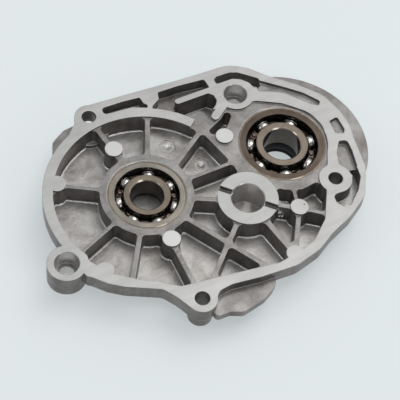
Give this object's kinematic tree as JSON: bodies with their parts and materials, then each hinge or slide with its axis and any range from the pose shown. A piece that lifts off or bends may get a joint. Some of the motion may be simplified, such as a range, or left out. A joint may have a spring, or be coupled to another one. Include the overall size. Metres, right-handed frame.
{
  "type": "gearbox housing",
  "caption": "Cast gearbox cover with a ribbed gear chamber, machined mating face, two open ball bearings, a countershaft boss and bolt and dowel holes.",
  "frame": {"origin": "on the wheel axle's line, in the plane of the machined mating face", "axes": "+X from the input bearing to the axle bearing, +Z out of the mating face along the shafts"},
  "size_m": [0.1643, 0.1224, 0.0205],
  "materials": {
    "casting": "die cast, machined on the mating face",
    "bearing_steel": "ground, with a thin film of oil",
    "ball_steel": "polished",
    "cage_steel": "pressed sheet, oiled",
    "rivet_steel": "headed",
    "seal_rubber": "moulded",
    "spring_steel": "coiled wire"
  },
  "bodies": {
    "casing": {"housing": "casting", "input_outer_ring": "bearing_steel", "axle_outer_ring": "bearing_steel", "axle_seal": "seal_rubber", "axle_seal_spring": "spring_steel"},
    "input_ring": {"input_inner_ring": "bearing_steel"},
    "input_cage": {"input_cage_upper": "cage_steel", "input_cage_lower": "cage_steel", "input_cage_rivets": "rivet_steel", "input_ball_1": "ball_steel", "input_ball_2": "ball_steel", "input_ball_3": "ball_steel", "input_ball_4": "ball_steel", "input_ball_5": "ball_steel", "input_ball_6": "ball_steel", "input_ball_7": "ball_steel"},
    "axle_ring": {"axle_inner_ring": "bearing_steel"},
    "axle_cage": {"axle_cage_upper": "cage_steel", "axle_cage_lower": "cage_steel", "axle_cage_rivets": "rivet_steel", "axle_ball_1": "ball_steel", "axle_ball_2": "ball_steel", "axle_ball_3": "ball_steel", "axle_ball_4": "ball_steel", "axle_ball_5": "ball_steel", "axle_ball_6": "ball_steel", "axle_ball_7": "ball_steel"}
  },
  "joints": [
    {"name": "input_spin", "type": "hinge", "parent": "casing", "child": "input_ring", "pos_m": [-0.06857, 0, -0.007], "axis": [0, 0, 1], "continuous": true},
    {"name": "input_cage_spin", "type": "hinge", "parent": "casing", "child": "input_cage", "pos_m": [-0.06857, 0, -0.007], "axis": [0, 0, 1], "continuous": true},
    {"name": "axle_spin", "type": "hinge", "parent": "casing", "child": "axle_ring", "pos_m": [0, 0, -0.007], "axis": [0, 0, 1], "continuous": true},
    {"name": "axle_cage_spin", "type": "hinge", "parent": "casing", "child": "axle_cage", "pos_m": [0, 0, -0.007], "axis": [0, 0, 1], "continuous": true}
  ],
  "couplings": [
    {"joint": "input_cage_spin", "follows": "input_spin", "ratio": 0.3818},
    {"joint": "axle_cage_spin", "follows": "axle_spin", "ratio": 0.3808}
  ]
}
